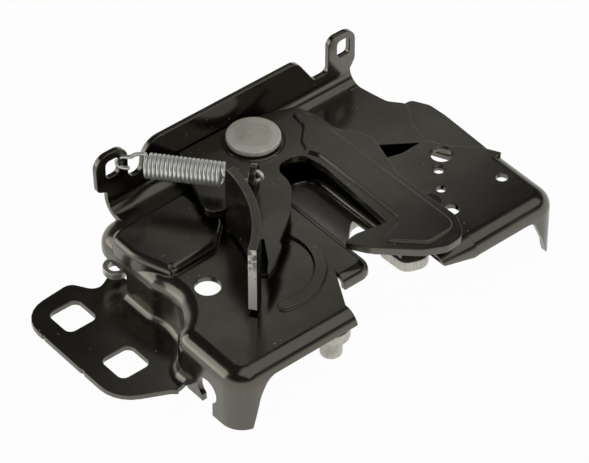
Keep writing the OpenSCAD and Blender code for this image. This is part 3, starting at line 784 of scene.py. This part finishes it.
@dataclass
class ForkSet:
    """The fork and what it turns on."""

    def build(self, wardrobe: Wardrobe) -> None:
        """Builds the fork, its pivot pieces and its stop."""
        Pressing("fork", Rides.FORK, Slot.ZINC, 0.4).build(wardrobe)
        # fork_rivet and fork_stop take the near-black rivet finish, which is painted shade
        Pressing("fork_rivet", Rides.FRAME, Slot.PAINTED_SHADE_RIVET, 0.4).build(wardrobe)
        Pressing("fork_spacer", Rides.FRAME, Slot.BUSH, 0.2).build(wardrobe)
        Pressing("fork_bush", Rides.FRAME, Slot.BUSH, 0.2).build(wardrobe)
        Pressing("fork_washer", Rides.FRAME, Slot.BUSH, 0.2).build(wardrobe)
        Pressing("fork_spring", Rides.FRAME, Slot.WIRE, 0.0).build(wardrobe)
        Pressing("fork_stop", Rides.FRAME, Slot.PAINTED_SHADE_RIVET, 0.4).build(wardrobe)
        Pressing("fork_buffer", Rides.FRAME, Slot.RUBBER, 0.5).build(wardrobe)


@dataclass
class PawlSet:
    """The pawl, its release lever and what they turn on."""

    def build(self, wardrobe: Wardrobe) -> None:
        """Builds the pawl, lever, stud and pivot pieces."""
        Pressing("pawl", Rides.PAWL, Slot.ZINC, 0.4).build(wardrobe)
        Pressing("release_lever", Rides.PAWL, Slot.ZINC, 0.35).build(wardrobe)
        Pressing("pawl_stud", Rides.PAWL, Slot.ZINC, 0.6).build(wardrobe)
        # pawl_rivet takes the near-black rivet finish, which is painted shade
        Pressing("pawl_rivet", Rides.FRAME, Slot.PAINTED_SHADE_RIVET, 0.4).build(wardrobe)
        Pressing("pawl_spacer", Rides.FRAME, Slot.BUSH, 0.2).build(wardrobe)
        Pressing("pawl_bush", Rides.FRAME, Slot.BUSH, 0.2).build(wardrobe)
        Pressing("pawl_washer", Rides.FRAME, Slot.BUSH, 0.2).build(wardrobe)
        Pressing("pawl_spring", Rides.FRAME, Slot.WIRE, 0.0).build(wardrobe)


@dataclass(frozen=True)
class SoftBox:
    """A square lamp, placed in metres."""

    name: str
    place: Point
    target: Point
    size: tuple[float, float]
    watts: float
    roll_deg: float = 0.0

    def build(self) -> None:
        """Adds the lamp, turned to its target and unseen by the camera."""
        lamp = bpy.data.lights.new(self.name, "AREA")
        lamp.shape = "RECTANGLE"
        lamp.size, lamp.size_y = self.size
        lamp.energy = self.watts
        holder = bpy.data.objects.new(self.name, lamp)
        holder.location = self.place
        aim = Vector(self.target) - Vector(self.place)
        holder.rotation_mode = "QUATERNION"
        roll = Quaternion((0.0, 0.0, 1.0), math.radians(self.roll_deg))
        holder.rotation_quaternion = aim.to_track_quat("-Z", "Y") @ roll
        holder.visible_camera = False
        bpy.context.scene.collection.objects.link(holder)


@dataclass
class Studio:
    """White table, soft lamps and the camera."""

    eye: Point = (-0.676135, -0.800513, 0.948415)
    azimuth: float = -40.0
    elevation: float = 42.0
    focal_pixels: float = 3500.0
    floor_size: float = 3.0
    sky: float = 0.055
    horizon: tuple[float, float] = (0.1, 0.45)
    lamps: tuple[SoftBox, ...] = (
        SoftBox("key_box", (0.3, -0.5, 1.25), (0.0, 0.0, 0.0), (1.7, 1.5), 5.5),
        SoftBox("strip_box", (0.2, 0.21, 0.3), (0.2, 0.21, 0.0), (0.28, 0.09), 0.033, 14.0),
        SoftBox("left_box", (-0.8, 0.7, 0.38), (-0.05, 0.0, 0.02), (0.8, 0.8), 3.4),
    )

    def build(self) -> None:
        """Sets the view transform and makes floor, world, lamps and camera."""
        bpy.context.scene.view_settings.view_transform = "Standard"
        self.floor()
        self.world()
        for lamp in self.lamps:
            lamp.build()
        self.camera()

    @staticmethod
    def seen(s: NodeSketch) -> bpy.types.NodeSocket:
        """1 for camera, glossy and transmission rays, else 0."""
        path = s.add("ShaderNodeLightPath")
        direct = s.maths("MAXIMUM", path.outputs["Is Camera Ray"], path.outputs["Is Glossy Ray"])
        return s.maths("MAXIMUM", direct, path.outputs["Is Transmission Ray"])

    def floor(self) -> None:
        """A plain white table that keeps a faint shadow."""
        mesh = bmesh.new()
        bmesh.ops.create_grid(mesh, x_segments=1, y_segments=1, size=self.floor_size)
        data = bpy.data.meshes.new("table")
        mesh.to_mesh(data)
        mesh.free()
        table = bpy.data.objects.new("table", data)
        bpy.context.scene.collection.objects.link(table)
        made = bpy.data.materials.new("table_white")
        made.use_nodes = True
        made.node_tree.nodes.clear()
        s = NodeSketch(made.node_tree)
        matt = s.add("ShaderNodeBsdfDiffuse")
        matt.inputs["Color"].default_value = (0.85, 0.85, 0.85, 1.0)
        glow = s.add("ShaderNodeEmission")
        mix = s.add("ShaderNodeMixShader")
        s.link(s.maths("MULTIPLY", self.seen(s), 0.97), mix.inputs["Fac"])
        s.link(matt.outputs["BSDF"], mix.inputs[1])
        s.link(glow.outputs["Emission"], mix.inputs[2])
        s.link(mix.outputs["Shader"], s.add("ShaderNodeOutputMaterial").inputs["Surface"])
        data.materials.append(made)

    def world(self) -> None:
        """A plain surround, pale at the horizon and dim overhead."""
        world = bpy.data.worlds.new("studio")
        bpy.context.scene.world = world
        world.use_nodes = True
        world.node_tree.nodes.clear()
        s = NodeSketch(world.node_tree)
        split = s.add("ShaderNodeSeparateXYZ")
        s.link(s.add("ShaderNodeTexCoord").outputs["Generated"], split.inputs["Vector"])
        level = s.ramp(split.outputs["Z"], self.horizon[0], self.horizon[1], (1.0, self.sky))
        back = s.add("ShaderNodeBackground")
        back.inputs["Color"].default_value = (1.0, 0.985, 0.96, 1.0)
        s.link(level, back.inputs["Strength"])
        s.link(back.outputs["Background"], s.add("ShaderNodeOutputWorld").inputs["Surface"])

    def camera(self) -> None:
        """The camera at the photograph's angle."""
        lens = bpy.data.cameras.new("camera")
        lens.sensor_fit = "HORIZONTAL"
        lens.sensor_width = 36.0
        lens.lens = self.focal_pixels / PHOTO_SIZE[0] * lens.sensor_width
        lens.clip_start, lens.clip_end = 0.05, 20.0
        holder = bpy.data.objects.new("camera", lens)
        holder.location = self.eye
        turn, rise = math.radians(self.azimuth), math.radians(self.elevation)
        back = Vector((math.sin(turn) * math.cos(rise), -math.cos(turn) * math.cos(rise), math.sin(rise)))
        holder.rotation_mode = "QUATERNION"
        holder.rotation_quaternion = (-back).to_track_quat("-Z", "Y")
        bpy.context.scene.collection.objects.link(holder)
        bpy.context.scene.camera = holder


def main() -> None:
    """Builds the sub-assemblies in order, then the studio."""
    logging.basicConfig(level=logging.INFO, format="%(name)s: %(message)s")
    wardrobe = Wardrobe()
    for assembly in (Body(), SafetyCatch(), ForkSet(), PawlSet()):
        assembly.build(wardrobe)
        LOG.info("%s done", type(assembly).__name__)
    Studio().build()


if __name__ == "__main__":
    main()
